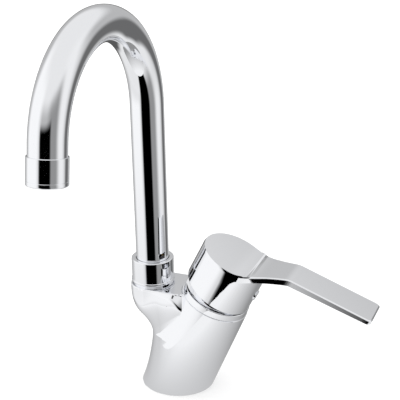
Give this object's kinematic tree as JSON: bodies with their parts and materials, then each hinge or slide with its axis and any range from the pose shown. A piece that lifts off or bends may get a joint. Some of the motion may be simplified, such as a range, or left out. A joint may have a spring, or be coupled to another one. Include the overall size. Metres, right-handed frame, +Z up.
{
  "type": "waterfall basin mixer",
  "caption": "Chrome single-lever basin mixer with a leaning barrel, a flat angled lever and a tall swivelling gooseneck spout.",
  "frame": {"origin": "centre of the foot, on the deck", "axes": "+Z up; the spout points to -Y at rest; the cartridge leans, and the lever points, to +X"},
  "size_m": [0.1705, 0.1622, 0.2715],
  "materials": {
    "chrome_body": "polished",
    "chrome": "polished",
    "chrome_handle": "polished",
    "chrome_plug": "polished",
    "black_rubber": "matte",
    "white_plastic": "moulded",
    "grey_plastic": "moulded",
    "red_plastic": "moulded",
    "ceramic": "lapped",
    "brass": "turned",
    "steel": "drawn"
  },
  "bodies": {
    "fixture": {"mixer_body": "chrome_body", "base_gasket": "black_rubber", "cartridge_base": "white_plastic", "cartridge_port_seals": "black_rubber", "fixed_ceramic_disc": "ceramic", "cartridge_housing": "white_plastic", "temperature_limit_ring": "red_plastic", "cartridge_nut": "brass", "trim_ring": "chrome", "spout_nut": "chrome", "lower_slide_ring": "white_plastic", "upper_slide_ring": "white_plastic"},
    "spout": {"spout_tube": "chrome", "spout_bush": "brass", "spout_o_rings": "black_rubber", "aerator_ring": "chrome", "aerator_washer": "black_rubber", "aerator_insert": "white_plastic", "aerator_mesh": "steel"},
    "rotor": {"cartridge_rotor": "grey_plastic", "pivot_pin": "steel"},
    "disc": {"disc_carrier": "grey_plastic", "moving_ceramic_disc": "ceramic"},
    "lever": {"handle": "chrome_handle", "lever_stem": "brass", "handle_set_screw": "steel", "index_plug": "chrome_plug"}
  },
  "joints": [
    {"name": "spout_swivel", "type": "hinge", "parent": "fixture", "child": "spout", "pos_m": [-0.0163, 0, 0], "axis": [0, 0, 1], "range_deg": [-60, 60]},
    {"name": "lever_turn", "type": "hinge", "parent": "fixture", "child": "rotor", "pos_m": [0, 0, 0], "axis": [0.3987, 0, 0.9171], "range_deg": [-45, 45]},
    {"name": "lever_lift", "type": "hinge", "parent": "rotor", "child": "lever", "pos_m": [0.0319, 0, 0.07336], "axis": [0, -1, 0], "range_deg": [0, 22]},
    {"name": "disc_slide", "type": "slide", "parent": "rotor", "child": "disc", "axis": [0.9171, 0, -0.3987], "range_m": [0, 0.0056]}
  ],
  "couplings": [
    {"joint": "disc_slide", "follows": "lever_lift", "m_per_rad": 0.01406}
  ]
}
